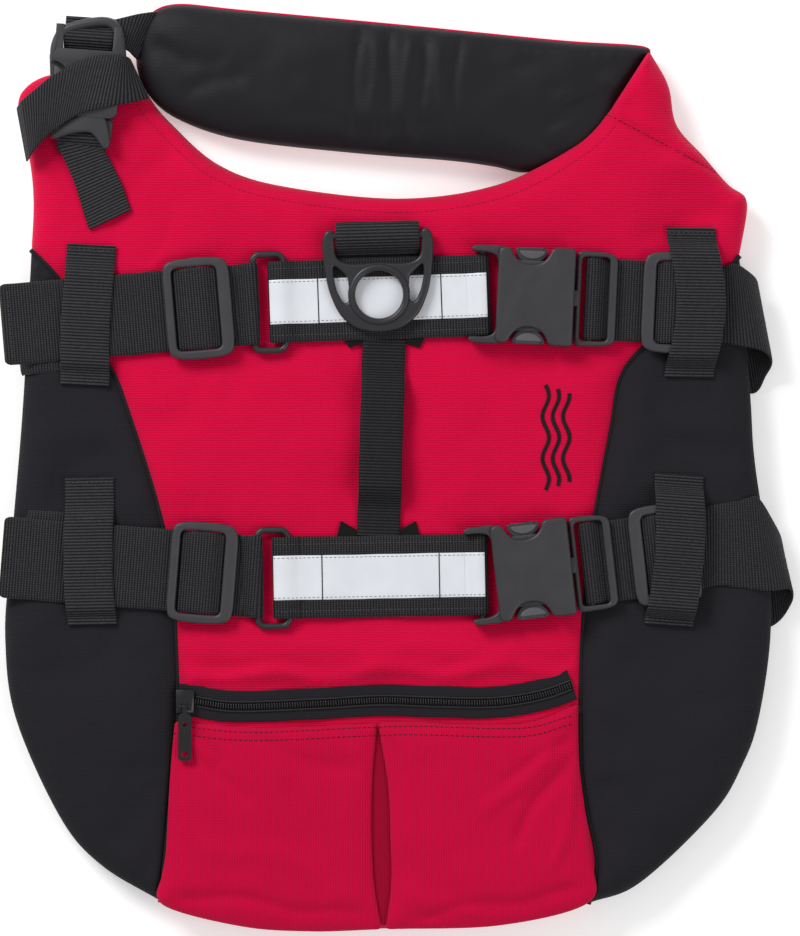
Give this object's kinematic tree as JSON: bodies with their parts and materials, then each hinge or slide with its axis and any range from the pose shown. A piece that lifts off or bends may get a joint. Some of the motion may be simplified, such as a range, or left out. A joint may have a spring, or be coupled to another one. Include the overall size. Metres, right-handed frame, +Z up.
{
  "type": "life jacket",
  "caption": "Buoyancy vest for a dog: foam saddle, chest float, belly belts with side-release buckles, grab handle, leash ring and zipped pocket.",
  "frame": {"origin": "centre of the vest's bounding box, on the ground that its belly belts lie on", "axes": "+Z up, +Y along the back towards the collar, +X towards the buckle side"},
  "size_m": [0.4043, 0.474, 0.0336],
  "materials": {
    "red_cloth": "matte",
    "black_cloth": "matte",
    "black_lining": "satin",
    "foam": "matte",
    "webbing": "matte",
    "reflective_tape": "satin",
    "buckle_plastic": "satin",
    "prong_plastic": "matte",
    "ring_plastic": "satin",
    "zipper_teeth": "satin",
    "zipper_metal": "satin"
  },
  "bodies": {
    "vest": {"back_shell": "red_cloth", "left_side_shell": "black_cloth", "right_side_shell": "black_cloth", "vest_lining": "black_lining", "back_foam": "foam", "left_foam": "foam", "right_foam": "foam", "seam_piping": "black_cloth", "neck_keeper": "webbing", "neck_webbing": "webbing", "neck_buckle_plug": "buckle_plastic", "front_center_webbing": "webbing", "front_reflective_tape": "reflective_tape", "front_ring": "ring_plastic", "front_left_strap": "webbing", "front_left_keeper": "webbing", "front_belly_belt": "webbing", "front_buckle_socket": "buckle_plastic", "front_right_keeper": "webbing", "rear_center_webbing": "webbing", "rear_reflective_tape": "reflective_tape", "rear_ring": "ring_plastic", "rear_left_strap": "webbing", "rear_left_keeper": "webbing", "rear_belly_belt": "webbing", "rear_buckle_socket": "buckle_plastic", "rear_right_keeper": "webbing", "d_ring_loop": "webbing", "handle": "webbing", "pocket_front": "red_cloth", "zipper_tape": "webbing", "zipper_teeth": "zipper_teeth"},
    "d_ring": {"d_ring": "ring_plastic"},
    "zipper_slider": {"zipper_slider": "zipper_metal"},
    "zipper_pull": {"zipper_pull": "zipper_metal"},
    "front_right_belt": {"front_buckle_plug": "buckle_plastic", "front_right_strap": "webbing"},
    "front_prong_upper": {"front_prong_upper": "prong_plastic"},
    "front_prong_lower": {"front_prong_lower": "prong_plastic"},
    "front_right_slider": {"front_right_slider": "buckle_plastic", "front_right_slider_web": "webbing"},
    "front_left_slider": {"front_left_slider": "buckle_plastic", "front_left_slider_web": "webbing"},
    "rear_right_belt": {"rear_buckle_plug": "buckle_plastic", "rear_right_strap": "webbing"},
    "rear_prong_upper": {"rear_prong_upper": "prong_plastic"},
    "rear_prong_lower": {"rear_prong_lower": "prong_plastic"},
    "rear_right_slider": {"rear_right_slider": "buckle_plastic", "rear_right_slider_web": "webbing"},
    "rear_left_slider": {"rear_left_slider": "buckle_plastic", "rear_left_slider_web": "webbing"},
    "collar": {"collar_shell": "red_cloth", "collar_lining": "black_lining", "collar_foam": "foam"},
    "neck_socket": {"collar_link": "webbing", "neck_buckle_socket": "buckle_plastic"},
    "neck_prong_left": {"neck_prong_left": "prong_plastic"},
    "neck_prong_right": {"neck_prong_right": "prong_plastic"}
  },
  "joints": [
    {"name": "d_ring_flip", "type": "hinge", "parent": "vest", "child": "d_ring", "pos_m": [-0.0114, 0.118, 0.0282], "axis": [-0.9997, -0.0262, 0], "range_deg": [0, 150]},
    {"name": "zipper_travel", "type": "slide", "parent": "vest", "child": "zipper_slider", "axis": [1, 0, 0], "range_m": [0, 0.15]},
    {"name": "zipper_pull_swing", "type": "hinge", "parent": "zipper_slider", "child": "zipper_pull", "pos_m": [-0.1092, -0.1211, 0.0277], "axis": [-1, 0, 0], "range_deg": [0, 150]},
    {"name": "front_buckle_release", "type": "slide", "parent": "vest", "child": "front_right_belt", "axis": [0.999, -0.0454, 0], "range_m": [0, 0.034], "deforming": ["front_prong_upper", "front_prong_lower"]},
    {"name": "front_prong_upper_press", "type": "hinge", "parent": "front_right_belt", "child": "front_prong_upper", "pos_m": [0.0864, 0.10267, 0.0281], "axis": [0, 0, 1], "range_deg": [0, 7], "stiffness_Nm_per_rad": 0.6},
    {"name": "front_prong_lower_press", "type": "hinge", "parent": "front_right_belt", "child": "front_prong_lower", "pos_m": [0.08492, 0.06991, 0.0281], "axis": [0, 0, 1], "range_deg": [-7, 0], "stiffness_Nm_per_rad": 0.6},
    {"name": "front_right_slider_adjust", "type": "slide", "parent": "front_right_belt", "child": "front_right_slider", "axis": [0.999, -0.0454, 0], "range_m": [-0.008, 0.012]},
    {"name": "front_left_slider_adjust", "type": "slide", "parent": "vest", "child": "front_left_slider", "axis": [0.9965, 0.0837, 0], "range_m": [-0.025, 0.002]},
    {"name": "rear_buckle_release", "type": "slide", "parent": "vest", "child": "rear_right_belt", "axis": [0.9936, 0.1132, 0], "range_m": [0, 0.034], "deforming": ["rear_prong_upper", "rear_prong_lower"]},
    {"name": "rear_prong_upper_press", "type": "hinge", "parent": "rear_right_belt", "child": "rear_prong_upper", "pos_m": [0.0826, -0.03344, 0.0281], "axis": [0, 0, 1], "range_deg": [0, 7], "stiffness_Nm_per_rad": 0.6},
    {"name": "rear_prong_lower_press", "type": "hinge", "parent": "rear_right_belt", "child": "rear_prong_lower", "pos_m": [0.08631, -0.06603, 0.0281], "axis": [0, 0, 1], "range_deg": [-7, 0], "stiffness_Nm_per_rad": 0.6},
    {"name": "rear_right_slider_adjust", "type": "slide", "parent": "rear_right_belt", "child": "rear_right_slider", "axis": [0.9936, 0.1132, 0], "range_m": [-0.005, 0.012]},
    {"name": "rear_left_slider_adjust", "type": "slide", "parent": "vest", "child": "rear_left_slider", "axis": [0.9969, -0.0785, 0], "range_m": [-0.025, 0.002]},
    {"name": "collar_swing", "type": "hinge", "parent": "vest", "child": "collar", "pos_m": [0.117, 0.1975, 0.0236], "axis": [0.5421, 0.8403, 0], "range_deg": [0, 120]},
    {"name": "neck_buckle_release", "type": "slide", "parent": "collar", "child": "neck_socket", "axis": [0.0698, 0.9976, 0], "range_m": [0, 0.028], "deforming": ["neck_prong_left", "neck_prong_right"]},
    {"name": "neck_prong_left_press", "type": "hinge", "parent": "vest", "child": "neck_prong_left", "pos_m": [-0.15271, 0.18013, 0.0271], "axis": [0, 0, 1], "range_deg": [0, 5], "stiffness_Nm_per_rad": 0.3},
    {"name": "neck_prong_right_press", "type": "hinge", "parent": "vest", "child": "neck_prong_right", "pos_m": [-0.16847, 0.18123, 0.0271], "axis": [0, 0, 1], "range_deg": [-5, 0], "stiffness_Nm_per_rad": 0.3}
  ],
  "couplings": [
    {"joint": "front_prong_lower_press", "follows": "front_prong_upper_press", "ratio": -1},
    {"joint": "rear_prong_lower_press", "follows": "rear_prong_upper_press", "ratio": -1},
    {"joint": "neck_prong_right_press", "follows": "neck_prong_left_press", "ratio": -1}
  ]
}
